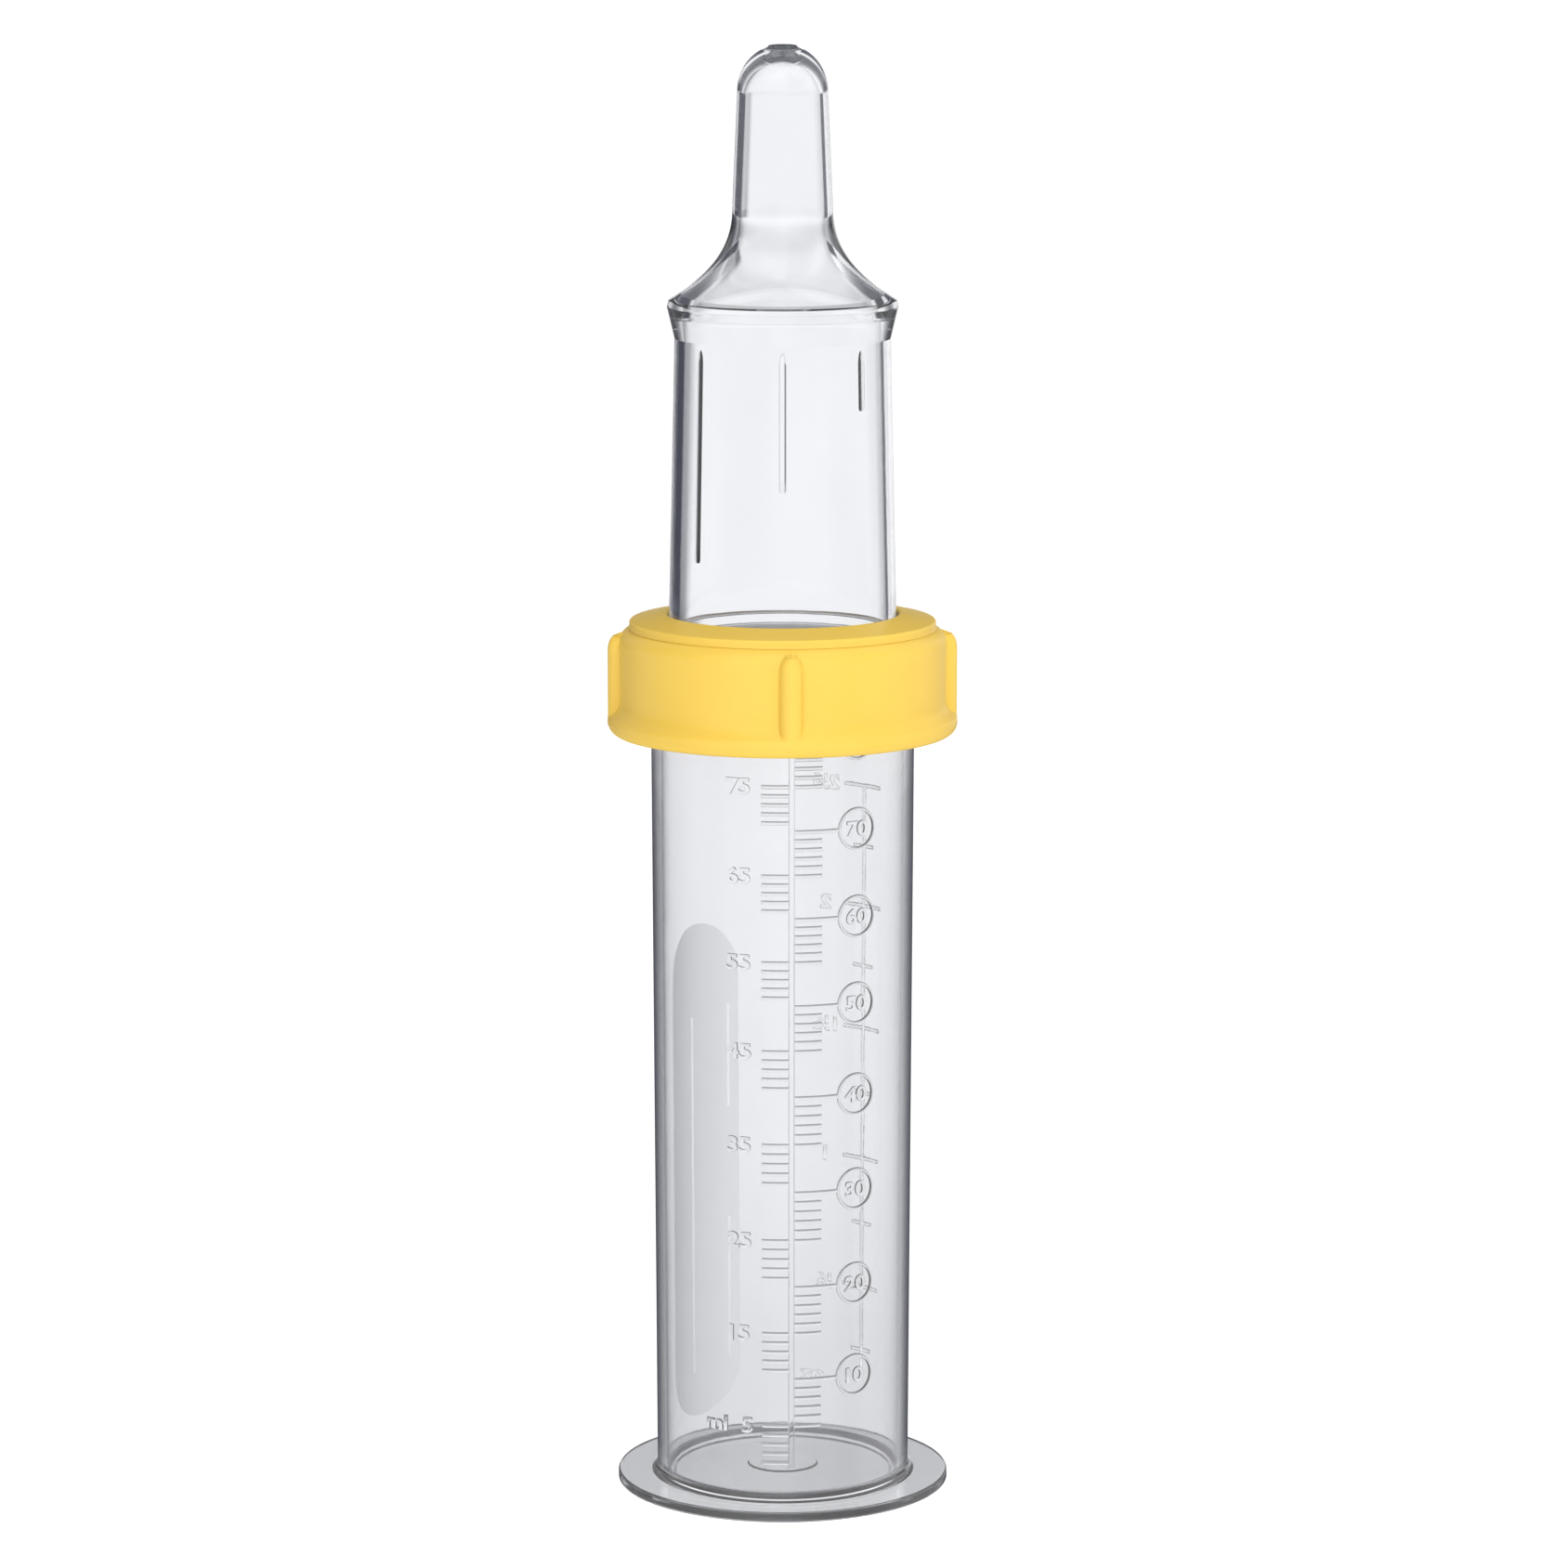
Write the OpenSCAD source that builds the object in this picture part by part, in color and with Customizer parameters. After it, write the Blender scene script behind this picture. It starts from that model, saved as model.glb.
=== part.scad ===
// Squeeze feeder: a graduated container, a screw collar, a soft teat with a reservoir barrel,
// and a one-way valve made of a rigid disc and a soft membrane.
// The origin is the centre of the container's base. +Z is up, and the scale faces -Y.

/* [Container] */
// Outer radius of the base flange
flange_r = 22.45; // [20:0.05:26]
// Thickness of the base flange
flange_t = 1.4; // [1:0.1:2]
// Outer radius of the wall where it leaves the flange
wall_foot_r = 17.1; // [16.8:0.05:17.3]
// How much the wall's radius grows for each millimetre of height
wall_draft = 0.00515; // [0.002:0.0005:0.0055]
// Thickness of the wall
wall_t = 1.35; // [1:0.05:1.5]
// Height of the rim above the surface that the container stands on
rim_z = 114.5; // [100:0.5:125]
// Height of the inside floor
floor_z = 1.9; // [1.5:0.1:2.2]

/* [Scale] */
// Height of the scale's zero
zero_z = 5.45; // [4:0.05:7]
// Highest value on the scale, in millilitres
scale_top_ml = 80; // [40:10:80]
// How far the scale stands out of the wall
relief_t = 0.2; // [0.1:0.05:0.3]

/* [Thread] */
// Rise of the thread in one turn
pitch = 3.5; // [3:0.1:4]
// Turns of thread on the neck and in the collar
thread_turns = 1.25; // [1:0.25:1.25]
// Crest radius of the neck's thread
neck_crest_r = 19.35; // [19:0.05:19.5]
// Crest radius of the collar's thread
collar_crest_r = 18.15; // [18.1:0.05:18.4]

/* [Collar] */
// Height of the collar below its top plate
collar_skirt_h = 14; // [13:0.05:15.5]
// Outer radius of the collar's body
collar_r = 21.9; // [21.6:0.05:22.6]
// Outer radius over the ribs and the lower band
collar_band_r = 23.4; // [23:0.05:24]
// Inner radius of the skirt
collar_bore_r = 20.2; // [19.9:0.05:20.4]
// Radius of the hole that the teat's barrel passes through
collar_hole_r = 15.5; // [15.4:0.05:16]
// Number of grip ribs
rib_count = 4; // [2:1:12]
// Direction of the first rib, measured from the front
rib_turn = 2.9; // [0:0.1:45]

/* [Teat] */
// Height of the teat above the container's rim
teat_h = 80.1; // [70:0.1:85]
// Outer radius of the barrel at the collar
barrel_low_r = 15.25; // [14.6:0.05:15.35]
// Outer radius of the barrel under the shoulder
barrel_top_r = 14.39; // [13.6:0.05:14.6]
// Thickness of the barrel's wall
barrel_t = 1.35; // [1:0.05:1.6]
// Outer radius of the nipple at its foot
nipple_foot_r = 6.65; // [6:0.05:7]
// Outer radius of the nipple below its round end
nipple_end_r = 6.0; // [5.4:0.05:6]
// Thickness of the nipple's wall
nipple_t = 1.05; // [0.8:0.05:1.3]
// Outer radius of the clamped flange
teat_flange_r = 19.3; // [18.8:0.05:19.6]
// Length of the slit in the end
slit_len = 3; // [1.5:0.1:3.4]

/* [Valve] */
// Thickness of the disc
disc_t = 1.2; // [1:0.05:1.3]
// Outer radius of the disc's snap rim
disc_r = 16.9; // [16.5:0.05:16.9]
// Number of flow holes in the disc
flow_holes = 6; // [3:1:8]
// Radius of each flow hole
flow_hole_r = 1.6; // [0.8:0.1:1.8]
// Radius of the membrane's flap
flap_r = 10.5; // [9:0.1:12]
// Radius of the membrane's stem
stem_r = 1.5; // [1:0.05:1.6]
// How far the membrane lifts off the disc
flap_lift = 0.8; // [0.4:0.05:0.9]

/* [Hidden] */
$fn = 96;

seat_gap = 0.05;       // between two faces that rest on each other
snap_gap = 0.1;        // around the disc in the teat's groove
edge_r = 0.4;          // rounding of small edges
weld = 0.3;            // how deep a raised feature is sunk into the wall that carries it

// Container
foot_fillet = 1.05;
base_recess_r = 15;
base_recess_t = 0.4;
gate_r = 4.8;
gate_t = 0.25;

// Scale: the arcs are given in degrees from the front, positive towards +X
mid_ml = 45;
mid_span_ml = 27;      // how far from the middle mark the marks still differ from an even cone's
mid_rise = 1;          // fitted: how far the middle mark stands above an even cone's, 0 for true volumes
line_at = 3.9;
line_w = 0.9;
line_proud = 0.03;     // how far the upright line stands out of the ticks that end in it
line_foot_z = 5.75;
tick_h = 0.5;
left_arc = [-9.3, 2.9];
right_arc = [4.9, 17.3];
long_arc = [4.9, 25.2];
ring_at = 33.9;
ring_r = 2.9;
ring_line = 0.45;
ML = 1000;             // cubic millimetres in a millilitre

// Thread
thread_foot_half = 1.0;
thread_crest_half = 0.45;
thread_steps = 36;     // sections in one turn
thread_start = 45;     // azimuth at which both threads begin, half a step off the seam at 0
thread_lead = 5;       // sections over which each end rises
thread_weld = 0.15;    // how deep the thread's root is sunk into its wall
neck_thread_z = rim_z - 7;
collar_thread_z = neck_thread_z - pitch / 2;

// Collar
plate_z = rim_z + 2.55 + seat_gap;
collar_foot_z = plate_z - collar_skirt_h;
lip_r = 20.5;
lip_side_z = plate_z + 1.2;
hole_edge_z = plate_z + 2.3;
band_top_z = collar_foot_z + 1.9;
band_fillet_z = collar_foot_z + 3.6;
band_blend = 0.4;      // how far the body leans out above the band
band_edge_r = 1.5;     // rounding of the band's lower edge
shoulder_r = 2;
shoulder_turn = 76;
corner_t = 0.8;        // size of the bevel inside, between the skirt and the top plate
plate_corner_r = collar_bore_r - corner_t;
rib_r = 1.5;
rib_proud = 0.08;      // how far a rib stands out of the band
rib_foot_z = collar_foot_z + 1.1;
rib_top_z = collar_foot_z + 11.3;

// Teat
teat_z = rim_z + seat_gap;
teat_flange_t = plate_z - seat_gap - teat_z;
teat_top_z = rim_z + teat_h;
ring_foot_z = teat_top_z - 38.6;
ring_top_z = teat_top_z - 34.5;
ring_out_r = 15.36;
shoulder_z = teat_top_z - 33.6;
nipple_foot_z = teat_top_z - 20.8;
end_z = teat_top_z - nipple_end_r;
blend_power = 2.5;     // how fast the shoulder sweeps up into the nipple
blend_steps = 12;
dish_r = 2.7;
dish_t = 0.9;
slit_w = 0.12;
slit_cut_h = 4;
barrel_line_z = ring_foot_z - 0.8;   // where the barrel's taper ends, under the shoulder
groove_lip_t = 0.4;
// Each flow line's direction from the front and its length
flow_lines = [[-48, 28], [0, 18.2], [45, 7.9]];
flow_line_w = 0.95;
flow_line_out = 0.3;

// Valve
disc_z = teat_z;
disc_low_r = disc_r - 0.35;
disc_step_t = groove_lip_t + seat_gap;
groove_z = teat_z + groove_lip_t;
groove_top_z = teat_z + disc_t + seat_gap;
groove_r = disc_r + snap_gap;
groove_lip_r = disc_low_r + snap_gap;
hole_clear = 0.08;
flow_circle_r = 6.5;
flap_z = disc_z + disc_t + seat_gap;
flap_edge_t = 0.5;
flap_mid_t = 0.9;
flap_boss_r = 3;       // radius of the flap's thick middle
bulb_r = 2.4;
bulb_top_z = disc_z - flap_lift - seat_gap;
bulb_h = 1.5;
tail_r = 0.9;
tail_h = 0.7;

// Outer radius of the container's wall at a height
function wall_r(z) = wall_foot_r + wall_draft * (z - flange_t);
// Radius of the tapered bore at the scale's zero
function bore_r0() = wall_r(zero_z) - wall_t;
// Radius, and height, where an even cone would hold a volume above the scale's zero
function bore_r(ml) = pow(pow(bore_r0(), 3) + 3 * wall_draft * ml * ML / PI, 1 / 3);
function cone_z(ml) = zero_z + (bore_r(ml) - bore_r0()) / wall_draft;
// Height of a mark. The bore here is an even cone, and mid_rise moves the marks alone: a fitted spacing, so
// the volume under the middle marks is a little more than they say
function ml_z(ml) = let (off = min(1, abs(ml - mid_ml) / mid_span_ml))
    cone_z(ml) + mid_rise * pow(cos(90 * off), 2);
// Points of an arc about [x, y], from angle a0 to a1
function arc(x, y, r, a0, a1, n = 6) =
    [for (i = [0:n]) let (a = a0 + (a1 - a0) * i / n) [x + r * cos(a), y + r * sin(a)]];
// Points of the sweep from a wide radius r0 at z0 up to a narrow one r1 at z1
function sweep_up(r0, z0, r1, z1) =
    [for (i = [0:blend_steps]) let (t = i / blend_steps)
        [r1 + (r0 - r1) * pow(1 - t, blend_power), z0 + (z1 - z0) * t]];
function reverse(list) = [for (i = [len(list) - 1:-1:0]) list[i]];

module revolve(points) {
    rotate_extrude() polygon(points);
}

// A raised arc on the wall, between two directions from the front
module wall_arc(z, span, h = tick_h) {
    rotate([0, 0, span[0] - 90])
        translate([0, 0, z - h / 2])
            rotate_extrude(angle = span[1] - span[0])
                translate([wall_r(z) - weld, 0]) square([weld + relief_t, h]);
}

// A right-hand helical ridge: root and crest radii, mid-height at its start
module helix(root_r, crest_r, z0, turns) {
    n = round(turns * thread_steps);
    outward = crest_r > root_r;
    function rise(i) = max(0.12, min(1, i / thread_lead, (n - i) / thread_lead));
    function tip(i) = root_r + (crest_r - root_r) * rise(i);
    function crest_half(i) = thread_foot_half + (thread_crest_half - thread_foot_half) * rise(i);
    function ring(i) = let (
        a = 360 * i / thread_steps,
        z = z0 + pitch * i / thread_steps,
        inner = outward ? root_r : tip(i),
        outer = outward ? tip(i) : root_r,
        hi = outward ? thread_foot_half : crest_half(i),
        ho = outward ? crest_half(i) : thread_foot_half
    ) [
        [inner * cos(a), inner * sin(a), z - hi],
        [outer * cos(a), outer * sin(a), z - ho],
        [outer * cos(a), outer * sin(a), z + ho],
        [inner * cos(a), inner * sin(a), z + hi]
    ];
    rotate([0, 0, thread_start]) polyhedron(
        points = [for (i = [0:n]) each ring(i)],
        faces = concat(
            [[0, 2, 1], [0, 3, 2]],
            [for (i = [0:n - 1], k = [0:3]) each let (a = 4 * i + k, b = 4 * i + (k + 1) % 4)
                [[a, b, a + 4], [b, b + 4, a + 4]]],
            [[4 * n, 4 * n + 1, 4 * n + 2], [4 * n, 4 * n + 2, 4 * n + 3]]
        )
    );
}

// Tapered container, round base flange and threaded neck, in one moulding
module container_shell() {
    in_foot = wall_r(floor_z + edge_r) - wall_t;
    rim_r = wall_r(rim_z);
    revolve(concat(
        [[0, base_recess_t], [base_recess_r - edge_r, base_recess_t], [base_recess_r, 0]],
        arc(flange_r - edge_r, edge_r, edge_r, -90, 0, 4),
        arc(flange_r - edge_r, flange_t - edge_r, edge_r, 0, 90, 4),
        arc(wall_r(flange_t) + foot_fillet, flange_t + foot_fillet, foot_fillet, 270, 180),
        [[rim_r, rim_z - edge_r], [rim_r - edge_r, rim_z]],
        [[rim_r - wall_t + edge_r / 2, rim_z], [rim_r - wall_t, rim_z - edge_r / 2]],
        arc(in_foot - edge_r * 2, floor_z + edge_r * 2, edge_r * 2, 0, -90, 5),
        [[gate_r, floor_z], [gate_r - gate_t, floor_z + gate_t], [0, floor_z + gate_t]]
    ));
}

// The raised scale: an upright line, a tick for each millilitre and a ring at each ten
module ml_scale() {
    line_h = ml_z(scale_top_ml) - line_foot_z;
    line_out = relief_t + line_proud;
    rotate([0, 0, line_at]) translate([0, -wall_r(line_foot_z), line_foot_z])
        rotate([atan(wall_draft), 0, 0])
            translate([-line_w / 2, -line_out, 0]) cube([line_w, line_out + weld, line_h]);
    for (ten = [0:10:scale_top_ml - 10]) {
        for (one = [1:5]) wall_arc(ml_z(ten + one), left_arc);
        for (one = [5:9]) wall_arc(ml_z(ten + one), right_arc);
        wall_arc(ml_z(ten + 10), long_arc);
        number_ring(ml_z(ten + 10));
    }
}

// A flat ring standing on the wall, around a number
module number_ring(z) {
    rotate([0, 0, ring_at]) translate([0, weld - wall_r(z), z]) rotate([90, 0, 0])
        difference() {
            cylinder(r = ring_r, h = weld + relief_t);
            translate([0, 0, -1]) cylinder(r = ring_r - ring_line, h = weld + relief_t + 2);
        }
}

module container() {
    color("#dfe5ea")
    union() {
        container_shell();
        ml_scale();
        helix(wall_r(neck_thread_z) - thread_weld, neck_crest_r, neck_thread_z, thread_turns);
    }
}

// Screw collar: a flat lip, a round shoulder, a flared band at the foot and grip ribs
module collar() {
    color("#ffd750")
    union() {
        revolve(concat(
            arc(collar_band_r - band_edge_r, collar_foot_z + band_edge_r, band_edge_r, -90, 0, 5),
            [[collar_band_r, band_top_z], [collar_r + band_blend, band_fillet_z - 2 * band_blend]],
            [[collar_r, band_fillet_z]],
            arc(collar_r - shoulder_r, plate_z - shoulder_r, shoulder_r, 0, shoulder_turn),
            [[lip_r, plate_z + 0.25], [lip_r, lip_side_z - 0.2], [lip_r - 0.25, lip_side_z]],
            [[collar_hole_r + edge_r, hole_edge_z], [collar_hole_r, hole_edge_z - edge_r]],
            [[collar_hole_r, plate_z], [plate_corner_r, plate_z], [collar_bore_r, plate_z - corner_t]],
            [[collar_bore_r, collar_foot_z + edge_r], [collar_bore_r + edge_r, collar_foot_z]]
        ));
        for (i = [0:rib_count - 1]) rotate([0, 0, rib_turn - 90 + i * 360 / rib_count]) grip_rib();
        helix(collar_bore_r + thread_weld, collar_crest_r, collar_thread_z, thread_turns);
    }
}

// One round-topped rib, at azimuth 0
module grip_rib() {
    translate([collar_band_r + rib_proud - rib_r, 0, 0]) {
        translate([0, 0, rib_foot_z]) cylinder(r = rib_r, h = rib_top_z - rib_foot_z, $fn = 32);
        translate([0, 0, rib_top_z]) sphere(r = rib_r, $fn = 32);
    }
}

// Clamped flange, reservoir barrel, ridged shoulder and nipple, in one soft piece
module teat_shell() {
    in_flange_r = barrel_low_r - barrel_t;
    in_ring_r = ring_out_r - barrel_t - 0.3;
    in_shoulder_z = shoulder_z - 1.4;
    in_foot_z = nipple_foot_z - 1.2;
    in_end_r = nipple_end_r - nipple_t;
    revolve(concat(
        [[groove_lip_r, teat_z]],
        arc(teat_flange_r - edge_r, teat_z + edge_r, edge_r, -90, 0, 4),
        arc(teat_flange_r - edge_r, teat_z + teat_flange_t - edge_r, edge_r, 0, 90, 4),
        [[barrel_low_r, teat_z + teat_flange_t], [barrel_top_r, barrel_line_z]],
        [[barrel_top_r, ring_foot_z], [ring_out_r, ring_top_z]],
        sweep_up(ring_out_r - 0.2, shoulder_z, nipple_foot_r, nipple_foot_z),
        arc(0, end_z, nipple_end_r, 0, acos(dish_r / nipple_end_r), 8),
        [[dish_r - 0.3, teat_top_z - 0.45], [1.6, teat_top_z - dish_t], [0, teat_top_z - dish_t - 0.15]],
        [[0, teat_top_z - dish_t - 0.15 - nipple_t]],
        arc(0, end_z - dish_t, in_end_r, 80, 0, 8),
        reverse(sweep_up(in_ring_r, in_shoulder_z, nipple_foot_r - nipple_t, in_foot_z)),
        [[barrel_top_r - barrel_t, barrel_line_z], [in_flange_r, groove_top_z + 1]],
        [[in_flange_r, groove_top_z], [groove_r, groove_top_z], [groove_r, groove_z]],
        [[groove_lip_r, groove_z]]
    ));
}

module teat() {
    color("#eef1f4")
    difference() {
        union() {
            teat_shell();
            for (line = flow_lines) flow_line(line[0], line[1]);
        }
        translate([-slit_len / 2, -slit_w / 2, teat_top_z - slit_cut_h]) cube([slit_len, slit_w, slit_cut_h]);
    }
}

// A raised line down the barrel from just under the shoulder
module flow_line(turn, length) {
    lean = atan((barrel_low_r - barrel_top_r) / (barrel_line_z - teat_z - teat_flange_t));
    rotate([0, 0, turn]) translate([0, -barrel_top_r, barrel_line_z]) rotate([-lean, 0, 0])
        translate([-flow_line_w / 2, -flow_line_out, -length])
            cube([flow_line_w, flow_line_out + weld, length]);
}

// Rigid disc that snaps into the teat's groove
module valve_disc() {
    color("white")
    difference() {
        revolve([
            [0, disc_z], [disc_low_r, disc_z], [disc_low_r, disc_z + disc_step_t],
            [disc_r, disc_z + disc_step_t], [disc_r, disc_z + disc_t], [0, disc_z + disc_t]
        ]);
        translate([0, 0, disc_z - 1]) cylinder(r = stem_r + hole_clear, h = disc_t + 2);
        for (i = [0:flow_holes - 1]) rotate([0, 0, i * 360 / flow_holes])
            translate([flow_circle_r, 0, disc_z - 1]) cylinder(r = flow_hole_r, h = disc_t + 2);
    }
}

// Soft flap over the flow holes, with a stem and a retaining bulb under the disc
module valve_membrane() {
    bulb_z = bulb_top_z - bulb_h;
    color("#f4f6f8")
    revolve([
        [0, bulb_z - tail_h], [tail_r, bulb_z - tail_h], [tail_r, bulb_z],
        [bulb_r, bulb_top_z - edge_r], [bulb_r, bulb_top_z], [stem_r, bulb_top_z], [stem_r, flap_z],
        [flap_r, flap_z], [flap_r, flap_z + flap_edge_t], [flap_boss_r, flap_z + flap_mid_t],
        [0, flap_z + flap_mid_t]
    ]);
}

container();
collar();
teat();
valve_disc();
valve_membrane();
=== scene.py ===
"""Looks for the squeeze feeder: moulded clear container, screw collar, silicone teat and one-way valve."""

import math

import bmesh
import bpy
import numpy as np
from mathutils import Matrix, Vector


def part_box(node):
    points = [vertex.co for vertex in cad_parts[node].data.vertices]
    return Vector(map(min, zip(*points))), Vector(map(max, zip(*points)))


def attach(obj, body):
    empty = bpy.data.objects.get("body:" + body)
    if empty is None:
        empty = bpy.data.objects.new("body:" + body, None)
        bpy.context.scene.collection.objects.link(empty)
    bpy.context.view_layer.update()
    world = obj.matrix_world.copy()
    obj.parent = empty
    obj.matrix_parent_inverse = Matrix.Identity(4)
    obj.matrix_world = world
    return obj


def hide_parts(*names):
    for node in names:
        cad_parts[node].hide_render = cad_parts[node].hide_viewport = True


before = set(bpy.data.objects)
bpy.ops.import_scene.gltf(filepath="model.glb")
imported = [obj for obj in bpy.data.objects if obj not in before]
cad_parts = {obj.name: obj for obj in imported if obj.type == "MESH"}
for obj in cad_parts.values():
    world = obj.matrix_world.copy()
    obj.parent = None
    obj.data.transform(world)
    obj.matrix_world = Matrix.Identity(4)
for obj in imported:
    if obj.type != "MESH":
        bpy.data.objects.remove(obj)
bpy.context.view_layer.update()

MM = 0.001

# ---------------------------------------------------------------- sizes, in millimetres
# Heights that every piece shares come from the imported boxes.
FLANGE_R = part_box("container")[1].x / MM
RIM_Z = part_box("container")[1].z / MM
COLLAR_FOOT_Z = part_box("collar")[0].z / MM
COLLAR_TOP_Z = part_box("collar")[1].z / MM
TEAT_FOOT_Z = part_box("teat")[0].z / MM
DISC_FOOT_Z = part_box("valve_disc")[0].z / MM
DISC_TOP_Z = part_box("valve_disc")[1].z / MM
DISC_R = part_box("valve_disc")[1].x / MM
FLAP_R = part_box("valve_membrane")[1].x / MM
TAIL_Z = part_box("valve_membrane")[0].z / MM
FLAP_TOP_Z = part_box("valve_membrane")[1].z / MM

# Container
FLANGE_T = 1.4
WALL_FOOT_R = 17.1
WALL_DRAFT = 0.00515
WALL_T = 1.35
FLOOR_Z = 1.9
FOOT_FILLET = 1.05
BASE_RING_R = 15.0
GATE_R = 4.8
ZERO_Z = 5.45
SCALE_TOP = 80
MID_ML = 45  # the middle marks' rise is fitted, and the bore under them is an even cone
MID_SPAN_ML = 27
MID_RISE = 1.0
RELIEF_T = 0.25
SUNK_T = 0.25
TICK_H = 0.55
LINE_W = 0.85
LEFT_ARC = (-9.3, 3.0)
RIGHT_ARC = (4.8, 17.3)
LONG_ARC = (4.8, 24.9)
LINE_AT = 3.9
LINE_FOOT_Z = 5.75
RING_AT = 33.9
RING_R = 2.9
RING_LINE = 0.45
LEFT_DIGITS_AT = -19.5
FIRST_DIGIT_AT = -15.9
DIGIT_H = 2.1
RING_DIGIT_H = 2.0

# Rear scale in ounces, and the matt patch to write on; angles from the front, so that 180 is the back
OUNCE_ML = 28.41  # imperial; the spacing of the marks fits it, and nothing on the piece says which ounce
REAR_LINE_AT = 180 - 42.8
REAR_LINE_HALF = 0.32
REAR_LINE_PAST = (3, 0.2)  # how far the upright line goes past the lowest and the highest mark
REAR_DIGIT_H = 2.0
REAR_QUARTERS = 10
OZ_H = 2.2
OZ_AT = 180 - 14.7
REAR_LONG = 12.0
REAR_SHORT = 6.5
REAR_DIGITS_AT = 180 - 21
OZ_Z = 9.8
PATCH_AT = 180 + 46.2
PATCH_HALF_W = 7.35
PATCH_Z = (5.4, 74.7)
PATCH_T = 0.05
PATCH_COLUMNS = 40
WRITE_LINES = ((180 + 50.5, 11.3, 61.6), (180 + 27.5, 13.0, 33.3), (180 + 27.5, 48.0, 63.2))

# Thread, shared by neck and collar
PITCH = 3.5
THREAD_TURNS = 1.25
THREAD_START = 45
THREAD_FOOT_HALF = 1.0
THREAD_CREST_HALF = 0.45
NECK_THREAD_Z = RIM_Z - 7
NECK_CREST_R = 19.35
COLLAR_THREAD_Z = NECK_THREAD_Z - PITCH / 2
COLLAR_CREST_R = 18.15
THREAD_LEAD = 50

# Collar
COLLAR_BODY_R = 21.9
COLLAR_BAND_R = 23.4
COLLAR_BORE_R = 20.2
COLLAR_HOLE_R = 15.5
PLATE_Z = COLLAR_TOP_Z - 2.3
LIP_R = 20.5
RIB_R = 1.5
RIBS = 4
RIB_TURN = 2.9
RIB_TOP_Z = COLLAR_FOOT_Z + 11.3

# Teat
TEAT_TOP_Z = RIM_Z + 80.1
TEAT_FLANGE_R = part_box("teat")[1].x / MM
BARREL_LOW_R = 15.25
BARREL_TOP_R = 14.39
BARREL_T = 1.35
RING_FOOT_Z = TEAT_TOP_Z - 38.6
RING_TOP_Z = TEAT_TOP_Z - 34.5
SHOULDER_Z = TEAT_TOP_Z - 33.6
NIPPLE_FOOT_Z = TEAT_TOP_Z - 20.8
RING_OUT_R = 15.36
NIPPLE_FOOT_R = 6.65
NIPPLE_END_R = 6.0
NIPPLE_T = 1.05
BLEND_POWER = 2.5
SLIT_LEN = 3.0
SLIT_W = 0.12
# Each flow line's direction from the front and its length
FLOW_LINES = ((-48, 28), (0, 18.2), (45, 7.9))
FLOW_LINE_W = 0.95
FLOW_LINE_OUT = 0.42

# Valve
FLOW_HOLES = 6
FLOW_HOLE_R = 1.6
FLOW_CIRCLE_R = 6.5
STEM_R = 1.5
BULB_R = 2.4
BULB_TOP_Z = DISC_FOOT_Z - 0.85


def wall_r(z):
    """Outer radius of the container's wall."""
    return WALL_FOOT_R + WALL_DRAFT * (z - FLANGE_T)


def barrel_r(z):
    """Outer radius of the teat's barrel, under its ridge."""
    low, high = PLATE_Z - 0.05, RING_FOOT_Z - 0.8
    return BARREL_LOW_R + (BARREL_TOP_R - BARREL_LOW_R) * (z - low) / (high - low)


def cone_z(ml):
    """Height that a volume reaches in the bore, an even cone."""
    r0 = wall_r(ZERO_Z) - WALL_T
    return ZERO_Z + ((r0**3 + 3 * WALL_DRAFT * ml * 1000 / math.pi) ** (1 / 3) - r0) / WALL_DRAFT


def ml_z(ml):
    """Height of a mark. The spacing is fitted: the middle marks stand up to MID_RISE above their true volumes."""
    off = min(1.0, abs(ml - MID_ML) / MID_SPAN_ML)
    return cone_z(ml) + MID_RISE * math.cos(math.pi / 2 * off) ** 2


def quarter_z(quarter):
    """Height of a quarter of an imperial fluid ounce on the rear scale, level with the same volume in front."""
    return ml_z(OUNCE_ML * quarter / 4)


# ---------------------------------------------------------------- mesh helpers
def mesh_object(name, verts, faces, smooth_angle=35):
    """A mesh object from points in millimetres, smooth but for edges sharper than smooth_angle."""
    mesh = bpy.data.meshes.new(name)
    mesh.from_pydata([tuple(c * MM for c in v) for v in verts], [], faces)
    obj = bpy.data.objects.new(name, mesh)
    bpy.context.scene.collection.objects.link(obj)
    finish_shading(obj, smooth_angle)
    return obj


def finish_shading(obj, smooth_angle):
    mesh = obj.data
    mesh.validate()
    mesh.update()
    mesh.shade_smooth()
    mesh.set_sharp_from_angle(angle=math.radians(smooth_angle))


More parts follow.
